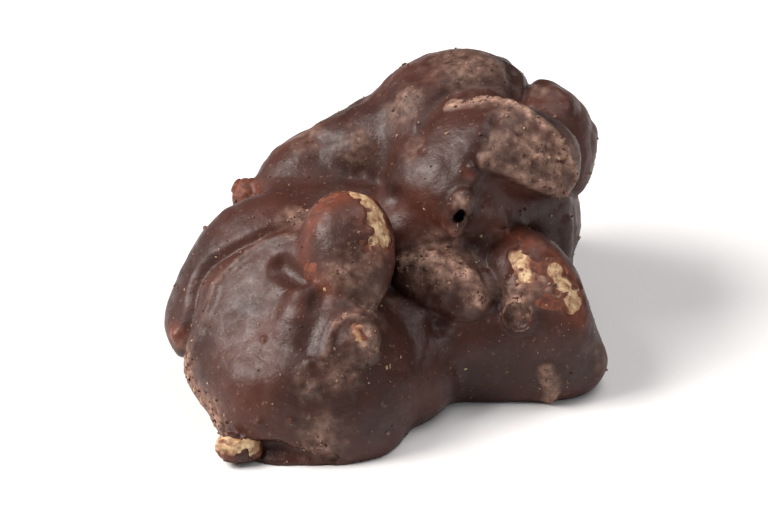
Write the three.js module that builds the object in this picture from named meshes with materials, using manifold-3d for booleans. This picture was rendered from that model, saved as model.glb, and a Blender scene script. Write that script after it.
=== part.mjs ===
// A dark chocolate peanut cluster: a fist of whole peanuts stirred into melted dark chocolate,
// spooned out on a flat sheet and left to set, so that the chocolate has a flat underside and
// follows the nuts inside it as rounded lumps. A few kernels stand out of the coat.
//
// Units are millimetres, +Z is up, and the cluster stands on the plane z = 0. In the table of
// lumps x runs to the right and y away from the side that is looked at.

import * as THREE from 'three';
import { mergeVertices } from 'three/addons/utils/BufferGeometryUtils.js';
import Module from 'manifold-3d';

// ---- driving dimensions ------------------------------------------------------------------

const CELL = 1.25;            // spacing of the grid that the chocolate's skin is drawn on
const MARGIN = 2.5;           // empty border of that grid round the lumps
const FLOOR_DEPTH = 3.9;      // how far the skin is drawn below the floor before it is cut off
const GAP = 0.3;              // clearance between a kernel and its socket in the chocolate
const SKIN_STEPS = 3;         // times that each point of the skin is pulled onto the true surface
const CELL_RIM = 0.08;        // share of its grid cell's edge that such a point stays clear of
const PROBE = 0.05;           // step to each side over which the surface's slope is measured
const LEAST_SQUARE = 0.2;     // least square of that slope, so that no pull runs away
const TINY = 1e-6;            // keeps a power or a quotient finite
const MERGE = 1e-5;           // points nearer to each other than this are one point
const RING_SHARE = 0.6;       // rings along a kernel for each facet round it

const CHOCOLATE = { color: 0x3a2019, roughness: 0.42, metalness: 0.0 };
const PEANUT = { color: 0xa9703f, roughness: 0.6, metalness: 0.0 };

// One lump is a rounded block: its middle, its half sizes along its own three axes, its turn in
// degrees (round Z, then nose up, then rolled), how widely its foot flows into what it joins
// (blend), and how square it is (power 2 is an ellipsoid). They are joined in this order.
const LUMPS = {
  pool_left: { at: [-8.6, -8.5, 4.5], half: [11.4, 10.5, 6.0], turn: [-28, 0, 0], blend: 0.0, power: 2.5 },
  pool_front: { at: [-7.1, -14.5, 3.0], half: [9.6, 7.7, 7.6], turn: [0, 0, 0], blend: 2.5, power: 2.7 },
  toe: { at: [1.8, -10.2, 3.6], half: [6.0, 3.7, 5.0], turn: [-42, 0, 0], blend: 4.0, power: 2.2 },
  pool_right: { at: [8.5, -3.0, 4.5], half: [12.0, 8.4, 7.0], turn: [0, 0, 0], blend: 3.0, power: 2.8 },
  pool_back: { at: [0.5, 9.0, 6.2], half: [13.6, 9.8, 7.8], turn: [-8, 0, 0], blend: 4.0, power: 2.5 },
  right_foot: { at: [17.8, -7.4, 2.8], half: [5.0, 3.6, 3.6], turn: [15, 0, 0], blend: 2.5, power: 2.2 },
  arm_foot: { at: [16.9, -7.6, 6.4], half: [4.2, 3.8, 4.6], turn: [0, 0, 0], blend: 2.5, power: 2.2 },
  left_front: { at: [-9.65, -9.75, 8.8], half: [9.8, 9.3, 6.3], turn: [105, 30, -35], blend: 3.0, power: 3.2 },
  left_back: { at: [-13.1, -5.8, 10.1], half: [9.8, 8.6, 4.8], turn: [50, 45, 0], blend: 0.4, power: 2.6 },
  left_low: { at: [-17.6, -2.0, 5.4], half: [5.6, 3.8, 4.2], turn: [75, 0, 0], blend: 1.0, power: 2.3 },
  valley: { at: [3.2, -0.8, 13.4], half: [4.8, 4.4, 4.8], turn: [0, 0, 0], blend: 2.5, power: 2.2 },
  saddle: { at: [-6.0, 2.0, 12.0], half: [9.0, 7.0, 6.5], turn: [20, 10, 0], blend: 3.0, power: 2.0 },
  back_left: { at: [-6.0, 8.5, 14.5], half: [7.5, 5.2, 6.2], turn: [20, 15, 0], blend: 2.0, power: 2.2 },
  shoulder: { at: [-1.0, 9.2, 18.4], half: [5.0, 4.8, 4.8], turn: [0, 0, 0], blend: 2.5, power: 2.1 },
  ridge: { at: [5.8, -5.4, 11.4], half: [6.0, 3.9, 3.6], turn: [-35, -12, 0], blend: 1.2, power: 2.2 },
  front_cheek: { at: [-3.6, -13.8, 7.2], half: [4.6, 4.4, 4.6], turn: [0, 0, 0], blend: 2.5, power: 2.2 },
  right_wall: { at: [14.0, 8.5, 11.5], half: [6.4, 7.0, 9.5], turn: [0, 0, 0], blend: 1.5, power: 2.3 },
  top_left: { at: [7.9, 2.5, 18.4], half: [7.0, 6.8, 7.0], turn: [50, 35, 0], blend: 1.6, power: 2.6 },
  top_middle: { at: [13.5, 3.0, 21.0], half: [5.2, 6.6, 4.9], turn: [74, 40, 33], blend: 3.0, power: 2.4 },
  nodule: { at: [7.6, -5.2, 19.6], half: [2.5, 1.4, 1.4], turn: [20, 70, 0], blend: 0.5, power: 2.2 },
  top_back: { at: [7.4, 11.0, 17.3], half: [10.2, 9.4, 10.4], turn: [30, 0, 0], blend: 2.0, power: 2.1 },
  top_right: { at: [15.7, 10.4, 17.4], half: [6.1, 6.4, 7.4], turn: [0, 0, 0], blend: 0.8, power: 2.1 },
  back_low: { at: [-4.5, 15.0, 6.4], half: [7.0, 4.5, 4.5], turn: [110, 55, 0], blend: 0.9, power: 2.3 },
  back_corner: { at: [-11.8, 8.8, 4.6], half: [7.4, 4.8, 4.8], turn: [150, 10, 0], blend: 1.6, power: 2.3 },
  back_high: { at: [-1.6, 13.6, 12.8], half: [6.6, 4.3, 4.3], turn: [-30, 35, 0], blend: 1.2, power: 2.3 },
  right_low: { at: [15.6, 5.2, 4.6], half: [6.4, 4.2, 4.4], turn: [80, -15, 0], blend: 1.0, power: 2.3 },
};

// One kernel is described as a lump is. Its seat is the same form, smaller by sink all round,
// that flows into the chocolate and leaves a low collar round the socket. sides is the number
// of facets round it.
const KERNELS = {
  peanut_knob: {
    at: [-3.8, -8.6, 16.7], half: [6.3, 4.7, 4.4], turn: [90, 52, 0],
    blend: 1.2, power: 2.2, sink: 0.8, sides: 20,
  },
  peanut_arm: {
    at: [15.2, -5.4, 10.2], half: [7.0, 4.4, 4.4], turn: [-51, -38, 0],
    blend: 2.4, power: 2.2, sink: 0.8, sides: 20,
  },
  peanut_front: {
    at: [-3.0, -16.2, 11.4], half: [3.0, 2.6, 2.5], turn: [75, 35, 0],
    blend: 0.8, power: 2.2, sink: 0.5, sides: 16,
  },
  peanut_chip: {
    at: [-14.5, -20.9, 1.6], half: [2.4, 1.4, 1.2], turn: [20, -8, 0],
    blend: 0.8, power: 2.6, sink: 0.4, sides: 12,
  },
  peanut_nub: {
    at: [-13.9, 6.2, 13.7], half: [2.5, 1.6, 1.6], turn: [120, 60, 0],
    blend: 1.2, power: 2.0, sink: 0.4, sides: 12,
  },
  peanut_rear: {
    at: [9.6, 16.8, 6.2], half: [7.4, 4.5, 4.5], turn: [12, 8, 0],
    blend: 2.4, power: 2.2, sink: 0.8, sides: 20,
  },
};

// ---- the form of the chocolate -----------------------------------------------------------

/** The turn of a lump: its own X axis swings round Z, then its nose lifts, then it rolls. */
function turnOf([aboutZ, noseUp, roll]) {
  const { degToRad } = THREE.MathUtils;
  return new THREE.Matrix4().makeRotationZ(degToRad(aboutZ))
    .multiply(new THREE.Matrix4().makeRotationY(-degToRad(noseUp)))
    .multiply(new THREE.Matrix4().makeRotationX(degToRad(roll)));
}

/** A lump made ready for measuring: the three rows of its inverse turn as plain numbers. */
function prepared(lump, shrink = 0) {
  const e = turnOf(lump.turn).elements;
  return {
    at: lump.at,
    half: lump.half.map((size) => size - shrink),
    rows: [[e[0], e[1], e[2]], [e[4], e[5], e[6]], [e[8], e[9], e[10]]],
    blend: lump.blend,
    power: lump.power,
  };
}

/**
 * Distance from (x, y, z) to a lump, close to true near its surface: how far the point lies
 * outside the rounded block, counted in half sizes, over the steepness of that count.
 */
function lumpDistance(lump, x, y, z) {
  const dx = x - lump.at[0];
  const dy = y - lump.at[1];
  const dz = z - lump.at[2];
  let sum = 0;
  const share = [0, 0, 0];
  for (let axis = 0; axis < 3; axis += 1) {
    const row = lump.rows[axis];
    const along = row[0] * dx + row[1] * dy + row[2] * dz;
    share[axis] = Math.max(Math.abs(along) / lump.half[axis], TINY);
    sum += share[axis] ** lump.power;
  }
  const count = sum ** (1 / lump.power);
  let steep = 0;
  for (let axis = 0; axis < 3; axis += 1) {
    const slope = (share[axis] ** (lump.power - 1) / lump.half[axis]) * sum ** (1 / lump.power - 1);
    steep += slope * slope;
  }
  return (count - 1) / Math.max(Math.sqrt(steep), TINY);
}

/** Two distances joined, with the corner between them filled over the width blend. */
function joined(a, b, blend) {
  if (blend <= 0) return Math.min(a, b);
  const overlap = Math.max(blend - Math.abs(a - b), 0) / blend;
  return Math.min(a, b) - overlap * overlap * blend / 4;
}

const MASS_LUMPS = [
  ...Object.values(LUMPS).map((lump) => prepared(lump)),
  ...Object.values(KERNELS).map((kernel) => prepared(kernel, kernel.sink)),
];

/** Signed distance to the chocolate before its sockets are cut: below zero inside. */
function chocolateDistance(x, y, z) {
  let distance = Infinity;
  for (const lump of MASS_LUMPS) {
    distance = joined(distance, lumpDistance(lump, x, y, z), lump.blend);
  }
  return distance;
}

/** The box that holds every lump, cut off a little below the floor. */
function boxOfLumps() {
  const box = new THREE.Box3();
  for (const lump of MASS_LUMPS) {
    const reach = [0, 1, 2].map((side) => (
      Math.hypot(...lump.rows.map((row, axis) => row[side] * lump.half[axis])) + MARGIN
    ));
    box.expandByPoint(new THREE.Vector3(...lump.at.map((middle, side) => middle - reach[side])));
    box.expandByPoint(new THREE.Vector3(...lump.at.map((middle, side) => middle + reach[side])));
  }
  box.min.z = -FLOOR_DEPTH - MARGIN;
  return box;
}

/**
 * Moves a point onto the surface where distance is zero, along the slope of distance, but not
 * out of the grid cell whose lowest corner is low.
 */
function pulledOnto(distance, point, low) {
  const [x, y, z] = point;
  const value = distance(x, y, z);
  const slope = [
    (distance(x + PROBE, y, z) - distance(x - PROBE, y, z)) / (2 * PROBE),
    (distance(x, y + PROBE, z) - distance(x, y - PROBE, z)) / (2 * PROBE),
    (distance(x, y, z + PROBE) - distance(x, y, z - PROBE)) / (2 * PROBE),
  ];
  const square = Math.max(slope[0] ** 2 + slope[1] ** 2 + slope[2] ** 2, LEAST_SQUARE);
  return point.map((place, axis) => THREE.MathUtils.clamp(
    place - (value / square) * slope[axis],
    low[axis] + CELL * CELL_RIM,
    low[axis] + CELL * (1 - CELL_RIM),
  ));
}

// A grid cell: its eight corners, its twelve edges as pairs of corners, and its six faces as
// rings of corners.
const CORNERS = [0, 1, 2, 3, 4, 5, 6, 7].map((n) => [n & 1, (n >> 1) & 1, n >> 2]);
const EDGES = [
  [0, 1], [2, 3], [4, 5], [6, 7],
  [0, 2], [1, 3], [4, 6], [5, 7],
  [0, 4], [1, 5], [2, 6], [3, 7],
];
const RINGS = [[0, 2, 6, 4], [1, 3, 7, 5], [0, 1, 5, 4], [2, 3, 7, 6], [0, 1, 3, 2], [4, 5, 7, 6]];
const edgeBetween = (a, b) => EDGES.findIndex((edge) => edge.includes(a) && edge.includes(b));
const RING_EDGES = RINGS.map((ring) => ring.map((corner, n) => edgeBetween(corner, ring[(n + 1) % 4])));

/**
 * The crossed edges of a cell, grouped into the separate sheets of surface in it. On each face
 * the edge where a ring walk enters the solid belongs with the edge where it leaves again.
 */
function sheetsOf(inside) {
  const sheet = EDGES.map((edge, n) => n);
  RINGS.forEach((ring, face) => {
    for (let n = 0; n < 4; n += 1) {
      if (inside[ring[n]] || !inside[ring[(n + 1) % 4]]) continue;
      let last = (n + 1) % 4;
      while (inside[ring[(last + 1) % 4]]) last = (last + 1) % 4;
      const [from, to] = [sheet[RING_EDGES[face][n]], sheet[RING_EDGES[face][last]]];
      sheet.forEach((name, edge) => { if (name === from) sheet[edge] = to; });
    }
  });
  const sheets = new Map();
  EDGES.forEach(([a, b], edge) => {
    if (inside[a] === inside[b]) return;
    sheets.set(sheet[edge], [...(sheets.get(sheet[edge]) ?? []), edge]);
  });
  return [...sheets.values()];
}

/**
 * The surface where distance is zero, as a closed net: each sheet of it in a grid cell gets one
 * point, at the mean of the crossings on the cell's edges, and each grid edge that it crosses
 * gets one four-sided face between the cells round that edge, split along its shorter diagonal.
 */
function netSurface(distance, box, cell) {
  const size = box.getSize(new THREE.Vector3()).divideScalar(cell).ceil().toArray().map((n) => n + 1);
  const place = (i, j, k) => [box.min.x + i * cell, box.min.y + j * cell, box.min.z + k * cell];
  const index = (i, j, k) => i + size[0] * (j + size[1] * k);
  const values = new Float64Array(size[0] * size[1] * size[2]);
  for (let k = 0; k < size[2]; k += 1) {
    for (let j = 0; j < size[1]; j += 1) {
      for (let i = 0; i < size[0]; i += 1) values[index(i, j, k)] = distance(...place(i, j, k));
    }
  }

  const positions = [];
  const pointOfEdge = new Map();
  for (let k = 0; k < size[2] - 1; k += 1) {
    for (let j = 0; j < size[1] - 1; j += 1) {
      for (let i = 0; i < size[0] - 1; i += 1) {
        const corner = CORNERS.map(([a, b, c]) => values[index(i + a, j + b, k + c)]);
        const inside = corner.map((value) => value < 0);
        if (inside.every((flag) => flag === inside[0])) continue;
        const low = place(i, j, k);
        for (const sheet of sheetsOf(inside)) {
          let point = [0, 0, 0];
          for (const edge of sheet) {
            const [a, b] = EDGES[edge];
            const t = corner[a] / (corner[a] - corner[b]);
            point = point.map((sum, axis) => sum + CORNERS[a][axis] * (1 - t) + CORNERS[b][axis] * t);
            pointOfEdge.set(12 * index(i, j, k) + edge, positions.length / 3);
          }
          point = point.map((sum, axis) => low[axis] + (sum / sheet.length) * cell);
          for (let step = 0; step < SKIN_STEPS; step += 1) point = pulledOnto(distance, point, low);
          positions.push(...point);
        }
      }
    }
  }

  const faces = [];
  const pointAt = (n) => new THREE.Vector3().fromArray(positions, 3 * n);
  const apart = (a, b) => pointAt(a).distanceTo(pointAt(b));
  const addFace = (a, b, c, d) => {
    if (apart(a, c) < apart(b, d)) faces.push(a, b, c, a, c, d);
    else faces.push(a, b, d, b, c, d);
  };
  for (let k = 1; k < size[2] - 1; k += 1) {
    for (let j = 1; j < size[1] - 1; j += 1) {
      for (let i = 1; i < size[0] - 1; i += 1) {
        for (let axis = 0; axis < 3; axis += 1) {
          const step = [0, 1, 2].map((n) => (n === axis ? 1 : 0));
          const here = values[index(i, j, k)] < 0;
          const there = values[index(i + step[0], j + step[1], k + step[2])] < 0;
          if (here === there) continue;
          const u = (axis + 1) % 3;
          const v = (axis + 2) % 3;
          const around = [[-1, -1], [0, -1], [0, 0], [-1, 0]].map(([du, dv]) => {
            const at = [i, j, k];
            at[u] += du;
            at[v] += dv;
            const near = CORNERS.findIndex((c) => c[u] === -du && c[v] === -dv && c[axis] === 0);
            const far = CORNERS.findIndex((c) => c[u] === -du && c[v] === -dv && c[axis] === 1);
            return pointOfEdge.get(12 * index(...at) + edgeBetween(near, far));
          });
          if (here) addFace(...around);
          else addFace(...around.reverse());
        }
      }
    }
  }
  const geometry = new THREE.BufferGeometry();
  geometry.setAttribute('position', new THREE.Float32BufferAttribute(positions, 3));
  geometry.setIndex(faces);
  return geometry;
}

// ---- the kernels -------------------------------------------------------------------------

/** A peanut kernel as a rounded block drawn on a sphere, its poles at the kernel's two ends. */
function kernelGeometry(kernel, swell = 0) {
  const rings = Math.round(kernel.sides * RING_SHARE);
  const geometry = new THREE.SphereGeometry(1, kernel.sides, rings);
  const position = geometry.getAttribute('position');
  for (let n = 0; n < position.count; n += 1) {
    const unit = [position.getY(n), position.getZ(n), position.getX(n)];
    const sum = unit.reduce((total, part) => total + Math.abs(part) ** kernel.power, 0);
    const reach = sum ** (-1 / kernel.power);
    position.setXYZ(n, ...unit.map((part, axis) => part * reach * (kernel.half[axis] + swell)));
  }
  geometry.applyMatrix4(turnOf(kernel.turn));
  geometry.translate(...kernel.at);
  return geometry;
}

// ---- joining and cutting -----------------------------------------------------------------

const wasm = await Module();
wasm.setup();

/** A closed geometry as a solid that can be joined and cut. */
function solidOf(geometry) {
  const bare = geometry.clone();
  bare.deleteAttribute('normal');
  bare.deleteAttribute('uv');
  const merged = mergeVertices(bare, MERGE);
  return new wasm.Manifold(new wasm.Mesh({
    numProp: 3,
    vertProperties: new Float32Array(merged.getAttribute('position').array),
    triVerts: new Uint32Array(merged.index.array),
  }));
}

/** A solid back as a geometry of flat triangles. */
function geometryOf(solid) {
  const mesh = solid.getMesh();
  const geometry = new THREE.BufferGeometry();
  geometry.setAttribute('position', new THREE.BufferAttribute(new Float32Array(mesh.vertProperties), 3));
  geometry.setIndex(new THREE.BufferAttribute(new Uint32Array(mesh.triVerts), 1));
  geometry.computeVertexNormals();
  return geometry;
}

// ---- the cluster -------------------------------------------------------------------------

/** The chocolate: one solid mass, cut flat where it stood on the sheet, with its sockets open. */
function makeChocolate() {
  const box = boxOfLumps();
  const wide = box.getSize(new THREE.Vector3());
  let solid = solidOf(netSurface(chocolateDistance, box, CELL));
  const sheet = new THREE.BoxGeometry(wide.x, wide.y, -box.min.z);
  sheet.translate((box.min.x + box.max.x) / 2, (box.min.y + box.max.y) / 2, box.min.z / 2);
  solid = solid.subtract(solidOf(sheet));
  for (const kernel of Object.values(KERNELS)) {
    solid = solid.subtract(solidOf(kernelGeometry(kernel, GAP)));
  }
  const mesh = new THREE.Mesh(geometryOf(solid), new THREE.MeshStandardMaterial(CHOCOLATE));
  mesh.name = 'chocolate';
  return mesh;
}

/** One kernel in its socket. */
function makeKernel(name, kernel) {
  const mesh = new THREE.Mesh(kernelGeometry(kernel), new THREE.MeshStandardMaterial(PEANUT));
  mesh.name = name;
  return mesh;
}

const cluster = new THREE.Group();
cluster.name = 'peanut_cluster';
cluster.add(makeChocolate());
for (const [name, kernel] of Object.entries(KERNELS)) cluster.add(makeKernel(name, kernel));

// The origin is on the floor under the middle of the whole cluster's box.
const whole = new THREE.Box3().setFromObject(cluster);
const middle = whole.getCenter(new THREE.Vector3());
cluster.position.set(-middle.x, -middle.y, 0);
cluster.updateMatrixWorld(true);

export default cluster;
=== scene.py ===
# A dark chocolate peanut cluster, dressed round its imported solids. The tables give places and
# sizes in millimetres, on the same axes as the part's own tables, and the meshes are in metres.
import math

import bpy
import numpy as np
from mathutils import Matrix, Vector


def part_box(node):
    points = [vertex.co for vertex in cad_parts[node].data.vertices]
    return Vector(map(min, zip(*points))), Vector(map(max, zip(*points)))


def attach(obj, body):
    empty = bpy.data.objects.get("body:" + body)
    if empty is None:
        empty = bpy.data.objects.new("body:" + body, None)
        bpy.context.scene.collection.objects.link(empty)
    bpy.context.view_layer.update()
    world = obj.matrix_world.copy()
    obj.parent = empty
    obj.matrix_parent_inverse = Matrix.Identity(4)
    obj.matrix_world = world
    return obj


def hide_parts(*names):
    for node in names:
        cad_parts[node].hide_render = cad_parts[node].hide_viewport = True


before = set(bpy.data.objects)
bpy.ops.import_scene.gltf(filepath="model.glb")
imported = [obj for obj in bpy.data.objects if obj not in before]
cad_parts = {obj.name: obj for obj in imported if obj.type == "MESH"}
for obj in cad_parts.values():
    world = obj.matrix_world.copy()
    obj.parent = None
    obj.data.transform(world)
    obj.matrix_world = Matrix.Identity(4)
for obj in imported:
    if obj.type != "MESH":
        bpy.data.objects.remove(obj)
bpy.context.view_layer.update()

# ---- the chocolate -------------------------------------------------------------------------
# Dark chocolate, spooned warm over whole peanuts and left to set on a flat sheet. It stands as
# round lumps over the nuts, closes in creases between them, and is flat and smooth underneath.
# It is a net drawn over joined rounded blocks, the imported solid's own, with its relief added.

MM = 0.001              # the tables' unit in metres

# Each block: middle, half sizes, turn in degrees (round Z, nose up, roll), how widely its foot
# flows into what it joins, and how square it is (2 is an ellipsoid). They join in this order.
LUMPS = {
    "pool_left": ((-8.6, -8.5, 4.5), (11.4, 10.5, 6.0), (-28, 0, 0), 0.0, 2.5),
    "pool_front": ((-7.1, -14.5, 3.0), (9.6, 7.7, 7.6), (0, 0, 0), 2.5, 2.7),
    "toe": ((1.8, -10.2, 3.6), (6.0, 3.7, 5.0), (-42, 0, 0), 4.0, 2.2),
    "pool_right": ((8.5, -3.0, 4.5), (12.0, 8.4, 7.0), (0, 0, 0), 3.0, 2.8),
    "pool_back": ((0.5, 9.0, 6.2), (13.6, 9.8, 7.8), (-8, 0, 0), 4.0, 2.5),
    "right_foot": ((17.8, -7.4, 2.8), (5.0, 3.6, 3.6), (15, 0, 0), 2.5, 2.2),
    "arm_foot": ((16.9, -7.6, 6.4), (4.2, 3.8, 4.6), (0, 0, 0), 2.5, 2.2),
    "left_front": ((-9.65, -9.75, 8.8), (9.8, 9.3, 6.3), (105, 30, -35), 3.0, 3.2),
    "left_back": ((-13.1, -5.8, 10.1), (9.8, 8.6, 4.8), (50, 45, 0), 0.4, 2.6),
    "left_low": ((-17.6, -2.0, 5.4), (5.6, 3.8, 4.2), (75, 0, 0), 1.0, 2.3),
    "valley": ((3.2, -0.8, 13.4), (4.8, 4.4, 4.8), (0, 0, 0), 2.5, 2.2),
    "saddle": ((-6.0, 2.0, 12.0), (9.0, 7.0, 6.5), (20, 10, 0), 3.0, 2.0),
    "back_left": ((-6.0, 8.5, 14.5), (7.5, 5.2, 6.2), (20, 15, 0), 2.0, 2.2),
    "shoulder": ((-1.0, 9.2, 18.4), (5.0, 4.8, 4.8), (0, 0, 0), 2.5, 2.1),
    "ridge": ((5.8, -5.4, 11.4), (6.0, 3.9, 3.6), (-35, -12, 0), 1.2, 2.2),
    "front_cheek": ((-3.6, -13.8, 7.2), (4.6, 4.4, 4.6), (0, 0, 0), 2.5, 2.2),
    "right_wall": ((14.0, 8.5, 11.5), (6.4, 7.0, 9.5), (0, 0, 0), 1.5, 2.3),
    "top_left": ((7.9, 2.5, 18.4), (7.0, 6.8, 7.0), (50, 35, 0), 1.6, 2.6),
    "top_middle": ((13.5, 3.0, 21.0), (5.2, 6.6, 4.9), (74, 40, 33), 3.0, 2.4),
    "nodule": ((7.6, -5.2, 19.6), (2.5, 1.4, 1.4), (20, 70, 0), 0.5, 2.2),
    "top_back": ((7.4, 11.0, 17.3), (10.2, 9.4, 10.4), (30, 0, 0), 2.0, 2.1),
    "top_right": ((15.7, 10.4, 17.4), (6.1, 6.4, 7.4), (0, 0, 0), 0.8, 2.1),
    "back_low": ((-4.5, 15.0, 6.4), (7.0, 4.5, 4.5), (110, 55, 0), 0.9, 2.3),
    "back_corner": ((-11.8, 8.8, 4.6), (7.4, 4.8, 4.8), (150, 10, 0), 1.6, 2.3),
    "back_high": ((-1.6, 13.6, 12.8), (6.6, 4.3, 4.3), (-30, 35, 0), 1.2, 2.3),
    "right_low": ((15.6, 5.2, 4.6), (6.4, 4.2, 4.4), (80, -15, 0), 1.0, 2.3),
}

# The kernels that show, as blocks too. The chocolate holds each in a seat: the same form,
# smaller all round by the last number.
KERNELS = {
    "peanut_knob": ((-3.8, -8.6, 16.7), (6.3, 4.7, 4.4), (90, 52, 0), 1.2, 2.2, 0.8),
    "peanut_arm": ((15.2, -5.4, 10.2), (7.0, 4.4, 4.4), (-51, -38, 0), 2.4, 2.2, 0.8),
    "peanut_front": ((-3.0, -16.2, 11.4), (3.0, 2.6, 2.5), (75, 35, 0), 0.8, 2.2, 0.5),
    "peanut_chip": ((-14.5, -20.9, 1.6), (2.4, 1.4, 1.2), (20, -8, 0), 0.8, 2.6, 0.4),
    "peanut_nub": ((-13.9, 6.2, 13.7), (2.5, 1.6, 1.6), (120, 60, 0), 1.2, 2.0, 0.4),
    "peanut_rear": ((9.6, 16.8, 6.2), (7.4, 4.5, 4.5), (12, 8, 0), 2.4, 2.2, 0.8),
}

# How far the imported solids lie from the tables: the knob's middle in the frame, less its own.
knob_low, knob_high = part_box("peanut_knob")
SHIFT = (np.array(knob_low) + np.array(knob_high)) / 2 / MM - np.array(KERNELS["peanut_knob"][0])

FAR = 9.0               # stands for any larger distance
REACH = 2.6             # how far beyond its own size and blend a block still counts
FILM = 0.20             # thickness of the film of chocolate over a kernel
FILM_BLEND = 0.5        # how widely the film flows into the chocolate round it
FILM_BAND = 2.0         # how near a kernel's surface its film is worked out
GAP_DEPTH = 0.30        # how far the chocolate lies below the kernel in a gap


def block_axes(turn):
    """A block's own axes as rows: X swings round Z, then its nose lifts, then it rolls."""
    z, nose, roll = np.radians(turn)
    swing = np.array([[math.cos(z), -math.sin(z), 0], [math.sin(z), math.cos(z), 0], [0, 0, 1]])
    lift = np.array([[math.cos(nose), 0, -math.sin(nose)], [0, 1, 0],
                     [math.sin(nose), 0, math.cos(nose)]])
    lean = np.array([[1, 0, 0], [0, math.cos(roll), -math.sin(roll)],
                     [0, math.sin(roll), math.cos(roll)]])
    return (swing @ lift @ lean).T


def block_distance(points, block):
    """Distance to a rounded block: how far out a point lies, counted in half sizes by the
    power sum of its three shares, over the steepness of that count."""
    at, half, axes, _, power = block
    share = np.maximum(np.abs((points - at) @ axes.T) / half, 1e-6)
    total = (share ** power).sum(axis=1)
    slope = share ** (power - 1) / half * (total ** (1 / power - 1))[:, None]
    return (total ** (1 / power) - 1) / np.maximum(np.sqrt((slope ** 2).sum(axis=1)), 1e-6)


BLOCKS = {
    name: (np.array(at), np.array(half), block_axes(turn), blend, power)
    for name, (at, half, turn, blend, power) in LUMPS.items()
}
FILMED = {}
for name, (at, half, turn, blend, power, sink) in KERNELS.items():
    BLOCKS["seat_" + name] = (np.array(at), np.array(half) - sink, block_axes(turn), blend, power)
    FILMED[name] = (np.array(at), np.array(half), block_axes(turn), FILM_BLEND, power)

LATTICE = 32            # random values along each side of a noise's lattice, which repeats
OFFSET = 700.0          # keeps every place on the lattice above zero


def wobble(points, size, seed):
    """Smooth noise from -1 to 1: random numbers on a lattice of the given spacing, blended
    between its eight nearest corners with an S-shaped weight."""
    lattice = np.random.default_rng(seed).random((LATTICE, LATTICE, LATTICE)) * 2 - 1
    scaled = points / size + OFFSET
    whole = np.floor(scaled).astype(int)
    part = scaled - whole
    part = part * part * (3 - 2 * part)
    result = np.zeros(len(points))
    for corner in np.ndindex(2, 2, 2):
        weight = np.prod(np.where(corner, part, 1 - part), axis=1)
        i, j, k = ((whole + corner) % LATTICE).T
        result += weight * lattice[i, j, k]
    return result


def layered(points, layers, seed):
    """Smooth noise of several sizes, added up. Each layer is a height and a size."""
    return sum(height * wobble(points, size, seed + n) for n, (height, size) in enumerate(layers))


def crumble(points, size, seed):
    """Crumbly noise from 0 to 1: one grain at a random place in each lattice cell, high at the
    middle of the nearest grain and low where grains meet."""
    grains = np.random.default_rng(seed).random((LATTICE, LATTICE, LATTICE, 3))
    scaled = points / size + OFFSET
    whole = np.floor(scaled).astype(int)
    nearest = np.full(len(points), FAR)
    for offset in np.ndindex(3, 3, 3):
        cell = whole + offset - 1
        i, j, k = (cell % LATTICE).T
        gap = ((cell + grains[i, j, k] - scaled) ** 2).sum(axis=1)
        nearest = np.minimum(nearest, gap)
    return np.clip(1 - np.sqrt(nearest), 0, 1)


def along(points, path):
    """Distance to the nearest point of a path of straight stretches."""
    best = np.full(len(points), FAR)
    for start, end in zip(np.array(path[:-1]), np.array(path[1:])):
        run = end - start
        share = np.clip((points - start) @ run / (run @ run), 0, 1)
        best = np.minimum(best, np.linalg.norm(points - start - share[:, None] * run, axis=1))
    return best


def near_path(points, path, margin):
    """Which points may lie within a margin of a path, and how far from it each of them is."""
    middle = np.mean(path, axis=0)
    span = np.linalg.norm(np.array(path) - middle, axis=1).max() + margin
    near = np.flatnonzero(((points - middle) ** 2).sum(axis=1) < span ** 2)
    return near, along(points[near], path)


# Where the film of chocolate on a kernel has a gap: path, half width, strength. Bare gaps show
# the tan kernel, and the others its red-brown skin.
BARE = {
    "peanut_knob": [
        (((-2.7, -5.8, 22.1), (-1.5, -6.9, 21.7), (-0.7, -8.9, 21.0), (-0.3, -10.1, 19.4)),
         1.50, 1.0),
    ],
    "peanut_arm": [
        (((13.3, -6.2, 14.6), (14.2, -7.1, 14.2), (14.6, -8.2, 13.4)), 0.80, 1.0),
        (((16.8, -6.6, 13.6), (17.9, -7.9, 12.4), (18.9, -8.7, 11.1), (19.5, -9.4, 10.0)),
         1.30, 1.0),
    ],
    "peanut_front": [(((-2.6, -17.9, 13.8), (-2.2, -18.9, 13.0), (-2.4, -19.3, 11.9)), 0.90, 0.9)],
    "peanut_chip": [(((-16.8, -21.4, 2.2), (-14.6, -21.8, 2.4), (-12.8, -21.2, 2.6)), 1.3, 1.0)],
    "peanut_rear": [(((6.2, 20.6, 8.0), (9.6, 21.2, 7.6), (12.4, 20.6, 9.0)), 1.3, 1.0)],
}
SKIN = {
    "peanut_nub": [(((-15.1, 6.2, 16.0), (-14.2, 6.2, 15.7), (-14.4, 5.0, 14.6)), 1.3, 1.0)],
    "peanut_rear": [(((3.8, 19.6, 7.0), (8.6, 21.0, 6.4), (14.4, 19.8, 8.2)), 1.7, 1.0)],
}
GAP_EDGE = ((0.60, 1.3), (0.75, 0.6))   # height and size of each layer of the edge's noise
GAP_SPREAD = 1.25       # how far from its path a gap reaches, in half widths
GAP_STEEPNESS = 1.5     # how sharply the film ends there


def gaps(points, strips, seed):
    """How open the film is, 0 to 1: full near any of the paths, with a ragged edge."""
    amount = np.zeros(len(points))
    ragged = layered(points, GAP_EDGE, seed)
    for path, width, strength in strips:
        gap = along(points, path) / width
        opened = np.clip(GAP_STEEPNESS * (GAP_SPREAD - gap + ragged), 0, 1)
        amount = np.maximum(amount, strength * opened)
    return amount


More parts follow.
